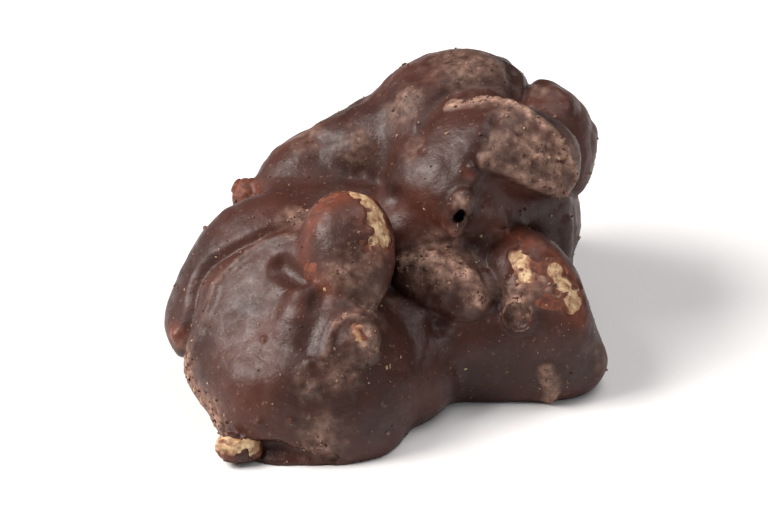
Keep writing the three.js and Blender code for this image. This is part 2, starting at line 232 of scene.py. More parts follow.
# Where one lump closed over another the seam stays as a groove: its depth and its half width.
SEAMS = {
    "left_back": (0.75, 0.32),
    "top_right": (0.50, 0.45),
    "ridge": (0.20, 0.40),
    "back_low": (0.40, 0.40),
    "back_corner": (0.40, 0.40),
    "back_high": (0.40, 0.40),
}


def joined(old, new, blend):
    """The nearer of two distances, less a fill that is widest where they are equal."""
    fill = np.maximum(blend - np.abs(old - new), 0) / blend
    return np.minimum(old, new) - fill ** 2 * blend / 4


def mass_distance(points):
    """Distance to all blocks joined one after another, then to the film over each kernel, which
    is the kernel's own block, thicker by the film or thinner by a gap's depth. With it comes
    the depth of the seams: a bell of the difference of the two distances that meet there."""
    distance = np.full(len(points), FAR)
    seam = np.zeros(len(points))
    for name, block in (BLOCKS | FILMED).items():
        at, half, _, blend, _ = block
        near = np.flatnonzero(((points - at) ** 2).sum(axis=1) < (half.max() + blend + REACH) ** 2)
        if not len(near):
            continue
        old = distance[near]
        new = block_distance(points[near], block)
        if name in FILMED:
            close = np.flatnonzero(np.abs(new) < FILM_BAND)
            strips = BARE.get(name, []) + SKIN.get(name, [])
            open_film = np.zeros(len(near))
            open_film[close] = gaps(points[near[close]], strips, 41)
            new -= FILM - (FILM + GAP_DEPTH) * open_film
        distance[near] = joined(old, new, max(blend, 1e-6))
        if name in SEAMS:
            depth, width = SEAMS[name]
            seam[near] -= depth * np.exp(-((new - old) / width) ** 2)
    return distance, seam


# What the surface shows. Spots: middle, radius, height (below zero is a dent).
SPOTS = [
    ((-8.2, -14.0, 15.8), 1.5, 0.75),        # the broad ridge below the knob
    ((-9.1, -15.2, 14.6), 1.7, 0.55),
    ((-10.0, -16.4, 13.2), 1.8, 0.35),
    ((-8.7, -9.0, 17.8), 1.2, 0.20),         # the swelling beside the knob
    ((-6.3, -15.2, 14.9), 1.1, -0.35),       # the dip between the ridge and the front kernel
    ((8.5, -2.9, 22.4), 0.7, -0.25),         # the red fleck and the bead above it
    ((8.9, -2.9, 23.5), 0.4, 0.45),
    ((0.4, 1.6, 21.2), 1.0, -0.6),           # hollows where the high and low halves meet
    ((1.4, -1.4, 19.2), 1.1, -0.4),
    ((3.9, -0.2, 23.8), 0.40, -0.20),        # dents in the glossy top
    ((8.3, -0.4, 24.7), 0.35, -0.22),
    ((17.3, 10.7, 24.6), 0.9, 0.35),         # beads on the right-hand top
    ((15.4, 10.6, 24.6), 0.8, 0.30),
    ((18.9, 8.5, 23.7), 0.8, 0.35),
    ((3.9, -8.5, 12.9), 1.4, -0.4),          # hollows under the crumbly ridge
    ((5.5, -10.0, 9.2), 1.2, -0.7),
    ((6.9, -10.1, 12.0), 0.9, -0.5),
    ((12.7, -8.9, 12.6), 0.6, 0.50),         # beads on the arm
    ((13.9, -9.3, 13.0), 0.55, 0.45),
    ((15.0, -9.4, 12.8), 0.45, 0.35),
    ((-12.0, -16.5, 11.6), 0.32, 0.35),      # beads on the front lump
    ((-7.4, -19.6, 10.9), 0.40, 0.40),
    ((-7.1, -21.5, 8.7), 0.55, 0.45),
    ((-12.5, -21.8, 5.0), 0.5, 0.40),
    ((-9.2, -22.2, 5.4), 0.45, 0.35),
    ((-21.3, -9.2, 7.2), 0.7, 0.40),         # the bead low on the left
    ((-6.0, 8.6, 20.9), 1.6, 0.4),           # swellings on the far left top
    ((-2.6, 5.4, 20.6), 1.3, 0.4),
]
# Strokes: path, half width, height, and how crumbly the stroke is.
STROKES = [
    # the front lump's sharp lip along the long seam on the left
    (((-9.0, -7.8, 18.3), (-10.6, -7.4, 17.9), (-12.1, -7.2, 17.2), (-13.4, -7.3, 16.4),
      (-14.8, -7.7, 15.4), (-16.2, -8.4, 14.2), (-17.0, -9.0, 13.4), (-17.6, -10.3, 12.1),
      (-18.2, -11.6, 10.5), (-18.9, -12.7, 8.6), (-19.6, -13.4, 6.6)), 0.45, 0.40, 0.2),
    # the uneven hollow between the broad ridge and the knob, and the dip beside the ridge
    (((-10.2, -10.4, 16.2), (-9.3, -11.3, 16.0), (-8.3, -12.2, 15.8)), 0.90, -1.9, 0.0),
    (((-6.4, -14.6, 15.3), (-6.7, -15.9, 14.2), (-7.3, -17.4, 13.0), (-7.7, -18.6, 11.7)),
     1.00, -0.30, 0.0),
    # the nodule's own swelling
    (((8.2, -5.8, 21.9), (7.6, -6.4, 19.9), (7.0, -6.3, 18.0)), 0.95, 0.40, 0.0),
    # the front lump's rounded lower edge
    (((-14.6, -18.6, 8.6), (-12.5, -19.6, 9.1), (-10.4, -20.0, 9.6), (-8.3, -19.9, 10.2)),
     2.0, 0.25, 0.0),
    # the black hole in the nodule
    (((7.3, -7.6, 20.1), (7.6, -4.6, 18.7)), 0.36, -4.0, 0.0),
    (((7.7, -7.6, 20.7), (7.8, -5.2, 19.6)), 0.30, -3.0, 0.0),
    # the rim round the front kernel
    (((-2.1, -16.7, 14.1), (-3.6, -16.4, 14.4), (-4.8, -17.2, 13.8), (-5.5, -18.2, 12.6),
      (-5.8, -19.0, 11.4)), 0.38, 0.40, 0.5),
    # the notch between the two highest tops
    (((13.4, 12.6, 25.6), (13.4, 10.6, 25.6), (13.8, 8.8, 24.9)), 0.80, -1.2, 0.0),
    # the crumbly rim round the right-hand top, the groove behind it and the valley across it
    (((6.7, 4.7, 26.3), (8.2, 4.4, 26.3), (9.9, 5.0, 26.7), (12.0, 5.2, 26.9), (13.4, 3.8, 26.9),
      (15.2, 2.2, 26.3), (16.8, 1.6, 25.3), (18.1, 0.9, 23.6), (19.0, 0.4, 21.6), (19.6, 0.3, 20.0)),
     0.70, 0.45, 1.0),
    (((3.0, 0.5, 24.2), (4.3, 3.6, 24.9), (6.1, 6.4, 25.9), (8.6, 7.8, 26.5), (11.0, 8.4, 26.3),
      (13.4, 7.2, 25.6)), 0.90, -0.75, 0.0),
    (((11.4, 1.6, 26.2), (10.4, -0.5, 24.9), (9.4, -2.3, 23.4)), 0.80, -0.55, 0.0),
    # that top's crumbly lower edge, and the deep smooth hollow under it
    (((10.3, -2.2, 23.9), (11.8, -2.5, 23.1), (14.2, -2.3, 21.9), (16.1, -1.9, 20.7),
      (18.4, -0.6, 19.0)), 0.65, 0.65, 1.0),
    (((10.9, -3.0, 20.9), (13.0, -2.4, 19.0), (15.4, -1.0, 17.4), (18.0, 1.4, 16.2)),
     1.7, -1.5, 0.0),
    # the crumbly ridge between the knob and the arm
    (((1.9, -6.4, 14.4), (3.3, -6.9, 14.9), (5.1, -6.8, 15.3), (7.1, -7.4, 14.8), (8.9, -8.5, 13.7),
      (9.8, -9.9, 11.9)), 1.0, 0.60, 1.0),
    # the light rims round the arm, and the step across it
    (((9.5, -5.4, 13.2), (9.8, -4.5, 14.6), (10.8, -3.8, 16.0), (12.7, -3.2, 16.4)), 0.40, 0.40, 0.0),
    (((10.2, -6.9, 13.2), (11.4, -8.4, 11.6)), 0.45, 0.50, 0.0),
    (((14.6, -10.5, 11.9), (17.5, -10.2, 11.6), (19.6, -8.9, 10.8)), 0.40, -0.40, 0.0),
    # the gritty run down the right-hand foot, and the gap under the front edge
    (((16.5, -11.9, 4.6), (17.1, -11.8, 2.7), (16.8, -11.0, 0.5)), 0.80, 0.40, 0.7),
    (((-12.4, -20.8, 1.6), (-10.6, -21.2, 2.0)), 0.95, -1.8, 0.0),
    (((-10.6, -21.4, 1.8), (-8.4, -21.7, 1.4)), 0.70, -1.5, 0.0),
    (((-8.4, -21.8, 1.5), (-6.8, -22.0, 1.0), (-5.0, -21.8, 0.9)), 0.45, -1.1, 0.0),
]
# Rings left by burst bubbles, a little sunk inside: middle, radius, half width, height.
RINGS = [
    ((13.6, -10.4, 10.4), 1.55, 0.30, 0.60),
]
# Dry, dusty places, and two on the nodule that are a painted highlight made pale like them:
# middle, radius, strength.
DUSTY_AND_LIT = [
    ((5.5, -7.0, 14.6), 3.0, 0.9), ((9.2, -9.2, 12.2), 1.6, 0.9), ((1.2, -8.4, 13.0), 2.0, 0.5),
    ((14.8, 0.0, 23.8), 2.6, 0.85), ((17.2, 0.8, 21.6), 2.2, 0.9), ((12.4, -0.6, 24.8), 2.0, 0.5),
    ((12.6, 3.4, 26.4), 2.4, 0.6), ((8.2, 11.2, 28.0), 3.2, 0.7), ((11.6, 11.0, 27.0), 2.2, 0.6),
    ((16.6, 10.4, 24.8), 2.0, 0.3), ((-20.0, -12.2, 5.4), 2.0, 0.9), ((-18.4, -15.1, 3.6), 1.8, 0.8),
    ((-17.2, -17.5, 3.4), 2.0, 0.9), ((-1.4, -13.6, 13.6), 2.0, 0.6), ((-2.0, -18.6, 12.6), 2.0, 0.7),
    ((-3.4, -13.6, 17.4), 2.4, 0.50), ((-1.4, -12.4, 18.6), 1.6, 0.55), ((-4.4, -20.0, 9.4), 1.8, 0.4),
    ((-7.4, -20.4, 8.6), 1.6, 0.35), ((-2.6, 5.4, 20.6), 2.4, 0.35), ((-8.0, 8.0, 20.0), 2.6, 0.35),
    ((21.0, -7.4, 4.0), 2.2, 0.5), ((13.2, -9.8, 12.0), 1.8, 0.8), ((16.4, -8.6, 13.0), 1.8, 0.6),
    ((2.2, 7.0, 24.6), 2.6, 0.4), ((-8.6, -4.4, 18.4), 1.6, 0.9), ((-9.8, -4.8, 18.0), 1.2, 0.6),
    ((3.0, 0.4, 23.6), 2.0, 0.3), ((-6.0, -21.8, 3.4), 2.4, 0.5), ((3.0, -12.0, 3.0), 3.0, 0.3),
    # these two, on the nodule: a painted highlight, pale where light falls on it
    ((7.9, -6.4, 21.4), 1.0, 0.6), ((7.1, -6.6, 18.4), 0.8, 0.45),
    ((4.0, 20.0, 20.0), 4.0, 0.6), ((-14.0, 11.0, 8.0), 3.0, 0.7), ((-3.0, 19.0, 11.0), 3.4, 0.7),
    ((19.4, 12.0, 10.0), 3.2, 0.6), ((-21.6, 0.0, 9.0), 2.4, 0.5), ((14.0, 17.0, 16.0), 3.0, 0.6),
]
# Places away from the gaps where a kernel's skin shows faintly through a thin coat: path, half
# width, strength.
THIN = [
    (((-7.0, -9.0, 21.0), (-5.8, -7.8, 22.0), (-3.9, -7.0, 22.6), (-2.6, -6.2, 22.6)), 1.0, 1.0),
    (((-7.8, -11.4, 16.9), (-7.9, -10.4, 19.0), (-7.0, -9.0, 21.0)), 0.6, 0.5),
    (((-6.4, -13.2, 16.4), (-5.6, -13.9, 16.0)), 0.7, 0.7),
    (((12.2, -3.4, 16.2), (13.4, -4.0, 15.8)), 0.8, 0.9),
    (((14.8, -5.0, 15.4), (16.4, -5.6, 14.4), (18.4, -6.6, 12.8), (20.2, -8.6, 10.6)), 0.9, 1.0),
    (((-21.3, -9.6, 7.2), (-21.3, -8.8, 7.2)), 0.9, 0.8),
    (((-15.4, 6.6, 15.6), (-14.0, 5.6, 15.4)), 1.2, 0.8),
    (((8.4, -2.9, 22.6), (8.6, -2.9, 22.0)), 0.5, 1.0),
    (((-20.4, -12.2, 5.0), (-19.2, -14.0, 4.0), (-17.4, -17.2, 2.9)), 0.9, 0.45),
    (((6.5, -6.4, 17.4), (6.3, -6.0, 16.4)), 0.8, 0.5),
]
# Places that are redder than the rest: middle, radius.
REDDER = [
    ((2.1, -3.8, 17.2), 3.0), ((6.9, -5.6, 16.9), 2.0), ((8.5, -2.9, 22.3), 1.0),
    ((18.8, 9.0, 20.0), 4.0), ((-14.6, -20.0, 5.6), 3.0), ((-21.7, -6.0, 5.2), 1.6),
    ((12.4, -3.2, 18.6), 2.6), ((-8.2, -9.6, 17.2), 1.4), ((22.0, -8.0, 1.4), 1.8),
    ((-21.3, -8.9, 7.0), 1.2),
]
# The noise that makes the coat uneven, height and size of each layer: its swells, the edges of
# its dusty and its thin places, and its clouds of redder brown.
SWELLS = ((0.18, 5.5), (0.10, 2.4), (0.06, 1.1))
DUST_EDGE = ((0.30, 2.3), (0.35, 0.9), (0.25, 0.5))
THIN_EDGE = ((0.50, 1.1), (0.50, 0.55))
RED_CLOUDS = ((0.60, 4.0), (0.30, 1.6))
BUMP_SIZE = 3.2         # the scattered bumps, which grow towards the back
BUMP_HEIGHT = 0.7
DIP_DEPTH = 0.6
LARGE_GRAIN = 0.95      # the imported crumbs
SMALL_GRAIN = 0.55
MEAN_GRAIN = 0.40       # about the crumbly noise's mean
GRAIN_HEIGHT = 0.38
RELIEF_BAND = 1.9       # how near the surface the relief is added


def dust_and_light_amount(points):
    """How dry and dusty the coat is, 0 to 1, and on the nodule how strongly its painted highlight
    shows: the strongest of the dusty places and crumbly strokes, each fading from its middle,
    with noise added that is strongest where it is dusty."""
    amount = np.zeros(len(points))
    for at, radius, strength in DUSTY_AND_LIT:
        gap = np.linalg.norm(points - np.array(at), axis=1) / radius
        amount = np.maximum(amount, strength * np.exp(-0.8 * gap ** 2))
    for path, width, _, strength in STROKES:
        if strength:
            near, gap = near_path(points, path, 3 * width)
            amount[near] = np.maximum(amount[near], strength * np.clip(1.6 - gap / width, 0, 1))
    ragged = layered(points, DUST_EDGE, 11)
    return np.clip(amount * 1.15 + ragged * (0.2 + amount) - 0.12, 0, 1)


def thin_amount(points):
    """How thin the coat is over a kernel's skin, 0 to 1: full beside the large kernels' bare
    strips and at the listed thin spots, made ragged by noise."""
    amount = np.zeros(len(points))
    for path, width, strength in BARE["peanut_knob"] + BARE["peanut_arm"] + THIN:
        near, gap = near_path(points, path, 3 * width)
        amount[near] = np.maximum(amount[near], strength * np.exp(-0.6 * (gap / width) ** 2))
    return np.clip(amount * (1.05 + layered(points, THIN_EDGE, 14)), 0, 1)


def packed_grains(points):
    """Crumbs packed side by side, about -0.7 to 1.0: large ones with smaller ones between."""
    small = crumble(points, SMALL_GRAIN, 22) - MEAN_GRAIN
    return crumble(points, LARGE_GRAIN, 21) - MEAN_GRAIN + 0.7 * small


def coat_relief(points):
    """Height of the coat over the joined blocks: swells down to small ripples, scattered bumps
    and dips where a noise is highest and lowest, more of them towards the back, the listed spots,
    strokes and rings, and packed crumbs where it is dusty. A spot is a bell with a rather flat
    top, and a stroke or a ring is a bell across its line."""
    height = layered(points, SWELLS, 1)
    rearward = np.clip(0.3 + 0.2 * points[:, 1], 0, 1)
    bumps = wobble(points, BUMP_SIZE, 5)
    high = np.clip(bumps - 0.3, 0, 1)
    deep = np.clip(-0.35 - bumps, 0, 1)
    height += rearward * (BUMP_HEIGHT * high - DIP_DEPTH * deep)
    for at, radius, rise in SPOTS:
        square = ((points - np.array(at)) ** 2).sum(axis=1)
        near = np.flatnonzero(square < 9 * radius ** 2)
        height[near] += rise * np.exp(-(square[near] / radius ** 2) ** 1.3)
    for path, width, rise, _ in STROKES:
        near, gap = near_path(points, path, 3 * width)
        height[near] += rise * np.exp(-(gap / width) ** 2)
    for at, radius, width, rise in RINGS:
        gap = np.linalg.norm(points - np.array(at), axis=1)
        near = np.flatnonzero(gap < radius + 4 * width)
        rim = rise * np.exp(-((gap[near] - radius) / width) ** 2)
        height[near] += rim - 0.4 * rise * (gap[near] < radius)
    dust_and_light = dust_and_light_amount(points)
    rough = np.flatnonzero(dust_and_light > 0.02)
    height[rough] += GRAIN_HEIGHT * dust_and_light[rough] * packed_grains(points[rough])
    return height


def coat_distance(points):
    """Distance to the coated chocolate, cut flat on the floor."""
    distance, seam = mass_distance(points)
    near = np.flatnonzero(np.abs(distance) < RELIEF_BAND)
    distance[near] -= seam[near] + coat_relief(points[near])
    return np.maximum(distance, -points[:, 2])


CELL = 0.28             # spacing of the net
TESTED = 4              # cells along the side of a cube that is tested as a whole first
BAND = 2.4              # how near the surface the net's values are worked out exactly
PARTS = 8               # how many parts they are worked out in, to save memory
NET_LOW = np.array([-25.5, -25.0, -4 * CELL])
NET_HIGH = np.array([25.5, 24.0, 30.0])


def net(low, high, distance):
    """A closed net over the surface where distance is zero. Each grid cell that it crosses gets
    one point, at the mean of the crossings on its edges, and each grid edge that it crosses
    gets one face between the four cells round it. Only cubes near the surface are sampled."""
    cubes = [int(count) // TESTED + 1 for count in np.ceil((high - low) / CELL)]
    ticks = [low[n] + CELL * (TESTED * np.arange(cubes[n]) + (TESTED - 1) / 2) for n in range(3)]
    middles = np.stack(np.meshgrid(*ticks, indexing="ij"), axis=-1).reshape(-1, 3)
    rough = np.maximum(mass_distance(middles)[0], -middles[:, 2]).reshape(cubes)
    for axis in range(3):
        rough = rough.repeat(TESTED, axis=axis)
    values = np.where(rough < 0, -FAR, FAR)
    near = np.argwhere(np.abs(rough) < BAND)
    parts = np.array_split(low + CELL * near, PARTS)
    values[tuple(near.T)] = np.concatenate([distance(part) for part in parts])

    inside = values < 0
    corners = list(np.ndindex(2, 2, 2))
    size = np.array(values.shape) - 1
    count = sum(
        inside[a:a + size[0], b:b + size[1], c:c + size[2]].astype(np.int8) for a, b, c in corners
    )
    cells = np.argwhere((count > 0) & (count < 8))
    total = np.zeros((len(cells), 3))
    crossings = np.zeros(len(cells))
    for axis in range(3):
        for corner in corners:
            if corner[axis]:
                continue
            start = cells + corner
            step = np.eye(3, dtype=int)[axis]
            v0 = values[tuple(start.T)]
            v1 = values[tuple((start + step).T)]
            crossed = np.flatnonzero((v0 < 0) != (v1 < 0))
            share = v0[crossed] / (v0[crossed] - v1[crossed])
            total[crossed] += start[crossed] + share[:, None] * step
            crossings[crossed] += 1
    points = low + CELL * total / crossings[:, None]

    point_of = np.full(size, -1)
    point_of[tuple(cells.T)] = np.arange(len(cells))
    faces = []
    for axis in range(3):
        step = np.eye(3, dtype=int)[axis]
        u = np.eye(3, dtype=int)[(axis + 1) % 3]
        v = np.eye(3, dtype=int)[(axis + 2) % 3]
        ends = [slice(None, -1) if n == axis else slice(None) for n in range(3)]
        starts = [slice(1, None) if n == axis else slice(None) for n in range(3)]
        edges = np.argwhere(inside[tuple(ends)] != inside[tuple(starts)])
        edges = edges[(edges > 0).all(axis=1)]
        steps = (u + v, v, 0 * u, u)
        ring = np.stack([point_of[tuple((edges - back).T)] for back in steps], axis=1)
        outward = inside[tuple(edges.T)]
        faces.append(np.where(outward[:, None], ring, ring[:, ::-1]))
    return points, np.concatenate(faces)


PROBE = 0.06            # how far to each side of a point its slope is felt for
LEAST_SLOPE = 0.3       # a flatter slope's square counts as this


def settled(points, distance, times):
    """Points moved onto the surface where distance is zero, down its slope, a few times over,
    by about half a cell each time at most."""
    for _ in range(times):
        value = distance(points)
        ways = PROBE * np.eye(3)
        slope = np.stack([distance(points + way) - distance(points - way) for way in ways], axis=1)
        slope = slope / (2 * PROBE)
        square = np.maximum((slope ** 2).sum(axis=1), LEAST_SLOPE)
        points = points - np.clip(value / square, -0.5 * CELL, 0.5 * CELL)[:, None] * slope
    return points


def new_piece(name, points, faces, attributes):
    """A smooth-shaded mesh object from points in table millimetres, faces and named values."""
    mesh = bpy.data.meshes.new(name)
    sides = faces.shape[1]
    mesh.vertices.add(len(points))
    mesh.vertices.foreach_set("co", ((points + SHIFT) * MM).astype(np.float32).ravel())
    mesh.loops.add(faces.size)
    mesh.loops.foreach_set("vertex_index", faces.astype(np.int32).ravel())
    mesh.polygons.add(len(faces))
    mesh.polygons.foreach_set("loop_start", np.arange(0, faces.size, sides, dtype=np.int32))
    mesh.update(calc_edges=True)
    mesh.shade_smooth()
    for key, values in attributes.items():
        attribute = mesh.attributes.new(key, "FLOAT", "POINT")
        attribute.data.foreach_set("value", values.astype(np.float32))
    piece = bpy.data.objects.new(name, mesh)
    bpy.context.scene.collection.objects.link(piece)
    return piece


coat_points, coat_faces = net(NET_LOW, NET_HIGH, coat_distance)
coat_points = settled(coat_points, coat_distance, 2)
coat_points[:, 2] = np.maximum(coat_points[:, 2], 0)
coat_dust_and_light = dust_and_light_amount(coat_points)
# How much pale dusting covers it, most on the grains' tops and none where they meet, which also
# paints light on the tops and shade between them, and how red its brown is.
coat_grit_and_light = coat_dust_and_light * np.clip(0.55 + 1.2 * packed_grains(coat_points), 0, 1)
coat_red = 0.35 + layered(coat_points, RED_CLOUDS, 31)
for at, radius in REDDER:
    gap = np.linalg.norm(coat_points - np.array(at), axis=1) / radius
    coat_red += 0.8 * np.exp(-gap ** 2)
chocolate = new_piece("chocolate_mass", coat_points, coat_faces,
                      {"dust_and_light": coat_dust_and_light, "grit_and_light": coat_grit_and_light, "red": np.clip(coat_red, 0, 1),
                       "thin": thin_amount(coat_points)})


def node(tree, kind, inputs=(), **settings):
    """A shader node with its settings and its inputs: numbers and colours, or links."""
    made = tree.nodes.new(kind)
    for key, value in settings.items():
        setattr(made, key, value)
    for key, value in dict(inputs).items():
        if isinstance(value, bpy.types.NodeSocket):
            tree.links.new(value, made.inputs[key])
        else:
            made.inputs[key].default_value = value
    return made


def mixed(tree, factor, first, second):
    """Two colours mixed by a factor. The node takes colours at its inputs 6 and 7."""
    made = node(tree, "ShaderNodeMix", {0: factor, 6: first, 7: second}, data_type="RGBA")
    return made.outputs[2]


def sum_of(tree, operation, first, second, clamp=False):
    """One sum on two values."""
    made = node(tree, "ShaderNodeMath", {0: first, 1: second}, operation=operation, use_clamp=clamp)
    return made.outputs[0]


def ranged(tree, value, low, high, to_low, to_high):
    """A value's range carried over to another range, and held inside it."""
    made = node(tree, "ShaderNodeMapRange", {0: value, 1: low, 2: high, 3: to_low, 4: to_high})
    return made.outputs[0]


def noise(tree, size, detail=3.0, roughness=0.55):
    """Noise from 0 to 1 with features of about the given size in metres."""
    place = tree.nodes["place"].outputs["Object"]
    made = node(tree, "ShaderNodeTexNoise",
                {"Vector": place, "Scale": 1 / size, "Detail": detail, "Roughness": roughness})
    return made.outputs["Fac"]


# Colours are linear red, green and blue.
DARK_BROWN = (0.036, 0.0130, 0.0094, 1)
RED_BROWN = (0.068, 0.0208, 0.0140, 1)
THIN_RED = (0.150, 0.040, 0.021, 1)
# the pale dusting's colour, which also paints light on the grains' tops
GRIT_AND_LIGHT_BROWN = (0.450, 0.275, 0.205, 1)
SPECK_TAN = (0.270, 0.160, 0.110, 1)
REFLECTION = 0.30       # how strongly a surface reflects, where 0.5 is usual


def chocolate_look(tree):
    """Dark chocolate's colour, roughness and bump: two browns in soft clouds, lighter and rougher
    where it is dusty, its pale dusting lightest on the fine grains' tops, partly as painted light,
    with pale specks, faint smears and fine pits."""
    node(tree, "ShaderNodeTexCoord", name="place")
    dust_and_light = node(tree, "ShaderNodeAttribute", attribute_name="dust_and_light").outputs["Fac"]
    grit_and_light = node(tree, "ShaderNodeAttribute", attribute_name="grit_and_light").outputs["Fac"]
    red = node(tree, "ShaderNodeAttribute", attribute_name="red").outputs["Fac"]
    thin = node(tree, "ShaderNodeAttribute", attribute_name="thin").outputs["Fac"]
    base = mixed(tree, red, DARK_BROWN, RED_BROWN)
    base = mixed(tree, sum_of(tree, "MULTIPLY", thin, 0.8), base, THIN_RED)
    grain = noise(tree, 0.0007, 4.0, 0.65)
    # the pale dusting, strongest on the fine grain's high points: partly a painted highlight there
    powder_and_light = sum_of(tree, "MULTIPLY", grit_and_light, ranged(tree, grain, 0.35, 0.65, 0.40, 1.0))
    base = mixed(tree, powder_and_light, base, GRIT_AND_LIGHT_BROWN)
    fleck = noise(tree, 0.0005, 2.0, 0.5)
    flecks = sum_of(tree, "MULTIPLY", ranged(tree, fleck, 0.64, 0.74, 0.0, 1.0),
                    ranged(tree, dust_and_light, 0.0, 0.8, 0.30, 0.9))
    base = mixed(tree, flecks, base, SPECK_TAN)
    smear = noise(tree, 0.0016, 4.0, 0.65)
    rough = sum_of(tree, "ADD", ranged(tree, smear, 0.35, 0.65, 0.36, 0.56),
                   sum_of(tree, "MULTIPLY", dust_and_light, 0.30), clamp=True)
    fine = sum_of(tree, "MULTIPLY", grain, ranged(tree, dust_and_light, 0.0, 1.0, 0.30, 1.0))
    height = sum_of(tree, "ADD", fine, sum_of(tree, "MULTIPLY", smear, 0.9))
    bump = node(tree, "ShaderNodeBump", {"Height": height, "Strength": 0.5, "Distance": 0.0003})
    return base, rough, bump.outputs["Normal"]


def finished(material, base, rough, normal):
    """The material's surface: a plain glossy body with the given colour, roughness and bump."""
    tree = material.node_tree
    body = tree.nodes["Principled BSDF"]
    tree.links.new(base, body.inputs["Base Color"])
    tree.links.new(rough, body.inputs["Roughness"])
    tree.links.new(normal, body.inputs["Normal"])
    body.inputs["Specular IOR Level"].default_value = REFLECTION


dark_chocolate = bpy.data.materials.new("dark_chocolate")
dark_chocolate.use_nodes = True
finished(dark_chocolate, *chocolate_look(dark_chocolate.node_tree))
chocolate.data.materials.append(dark_chocolate)
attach(chocolate, "root")
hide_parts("chocolate")

# ---- the kernels ---------------------------------------------------------------------------
# Roasted peanut kernels that stand out of the chocolate: tan where they are bare, and red-brown
# where their papery skin is left. They show through the gaps in the film. Each is a rounded
# block drawn on a sphere of angles, in its packed place.

KERNEL_TAN = (0.400, 0.235, 0.125, 1)
KERNEL_PALE = (0.680, 0.500, 0.290, 1)
SKIN_RED = (0.180, 0.054, 0.027, 1)
SKIN_DARK = (0.080, 0.024, 0.014, 1)
KERNEL_SWELLS = ((0.12, 2.4), (0.06, 0.9))
LARGE_BREAK = 1.1       # the grains of a broken face
SMALL_BREAK = 0.6


def peanut_look(tree):
    """A kernel's colour, roughness and bump: bare tan with flecks of skin, or red-brown skin in
    two tones, both finely wrinkled."""
    node(tree, "ShaderNodeTexCoord", name="place")
    bare = node(tree, "ShaderNodeAttribute", attribute_name="bare").outputs["Fac"]
    tone = noise(tree, 0.0013, 4.0, 0.6)
    wrinkle = noise(tree, 0.0006, 4.0, 0.65)
    kernel = mixed(tree, ranged(tree, tone, 0.44, 0.60, 0.0, 1.0), KERNEL_TAN, KERNEL_PALE)
    kernel = mixed(tree, ranged(tree, wrinkle, 0.50, 0.62, 0.0, 0.75), kernel, SKIN_RED)
    bare = sum_of(tree, "ADD", bare, ranged(tree, tone, 0.30, 0.70, 0.35, -0.35))
    bare = ranged(tree, bare, 0.35, 0.80, 0.0, 1.0)
    skin = mixed(tree, ranged(tree, wrinkle, 0.38, 0.62, 0.0, 1.0), SKIN_DARK, SKIN_RED)
    rough = ranged(tree, tone, 0.35, 0.65, 0.45, 0.62)
    bump = node(tree, "ShaderNodeBump", {"Height": wrinkle, "Strength": 0.6, "Distance": 0.00025})
    return mixed(tree, bare, skin, kernel), rough, bump.outputs["Normal"]


peanut = bpy.data.materials.new("peanut")
peanut.use_nodes = True
finished(peanut, *peanut_look(peanut.node_tree))


def kernel_piece(name, around, lengthwise, ragged, paleness=1.0):
    """One kernel: for each pair of angles, the point of the unit sphere there is moved out to
    the rounded block, then along its own direction by its unevenness and broken grains. Its
    bare places are as pale as paleness says."""
    at, half, turn, _, power, _ = KERNELS[name]
    angle, polar = np.meshgrid(np.arange(around) * 2 * math.pi / around,
                               np.arange(1, lengthwise) * math.pi / lengthwise)
    unit = np.stack([np.cos(polar), np.sin(polar) * np.cos(angle), np.sin(polar) * np.sin(angle)],
                    axis=-1).reshape(-1, 3)
    unit = np.concatenate([unit, [[1, 0, 0], [-1, 0, 0]]])
    reach = (np.abs(unit) ** power).sum(axis=1) ** (-1 / power)
    outward = unit / half
    outward /= np.linalg.norm(outward, axis=1)[:, None]
    axes = block_axes(turn)
    points = (unit * reach[:, None] * half) @ axes + np.array(at)
    bare = paleness * gaps(points, BARE.get(name, []), 43)
    height = layered(points, KERNEL_SWELLS, 61)
    broken = crumble(points, LARGE_BREAK, 64) + 0.5 * crumble(points, SMALL_BREAK, 65)
    height += ragged * (broken - 0.6)
    points = points + height[:, None] * (outward @ axes)
    rows = np.arange((lengthwise - 1) * around).reshape(lengthwise - 1, around)
    turned = np.roll(rows, -1, axis=1)
    quads = np.stack([rows[:-1], rows[1:], turned[1:], turned[:-1]], axis=-1).reshape(-1, 4)
    head = np.stack([np.full(around, rows.size), rows[0], turned[0]], axis=-1)
    tail = np.stack([np.full(around, rows.size + 1), turned[-1], rows[-1]], axis=-1)
    faces = np.concatenate([quads[:, [0, 1, 2]], quads[:, [0, 2, 3]], head, tail])
    piece = new_piece(name + "_shown", points, faces, {"bare": bare})
    piece.data.materials.append(peanut)
    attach(piece, "root")
    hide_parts(name)


kernel_piece("peanut_knob", 160, 100, 0.04)
kernel_piece("peanut_arm", 160, 110, 0.04)
kernel_piece("peanut_front", 90, 60, 0.15, 0.90)
kernel_piece("peanut_chip", 100, 70, 0.28)
kernel_piece("peanut_nub", 70, 50, 0.10)
kernel_piece("peanut_rear", 150, 100, 0.04)

# ---- the crumbs ----------------------------------------------------------------------------
# Crumbs of nut and skin that stuck to the setting chocolate, most of them where it is dusty and
# along its lower edge. Each is a small uneven round of 32 faces, half sunk in the coat, and all
# of them are joined as one mesh.

CRUMBS = 2600
CRUMB_SMALLEST = 0.05   # half size of the smallest, and how much larger the largest is
CRUMB_SPREAD = 0.15
CRUMB_LOWEST = 0.3      # none lies below this height
CRUMB_PALE = (0.480, 0.340, 0.190, 1)
# Where more of them lie: middle, radius.
LITTER = [
    ((-19.8, -12.8, 5.6), 1.6), ((-17.3, -16.9, 5.0), 1.6), ((-16.2, -18.4, 3.2), 1.4),
    ((-8.0, -21.0, 1.2), 2.4), ((17.0, -11.6, 2.8), 1.4), ((5.5, -7.2, 14.8), 2.4),
    ((-1.8, -18.2, 10.0), 1.6), ((13.0, -9.8, 12.0), 1.6), ((-8.4, -3.4, 17.4), 1.6),
]


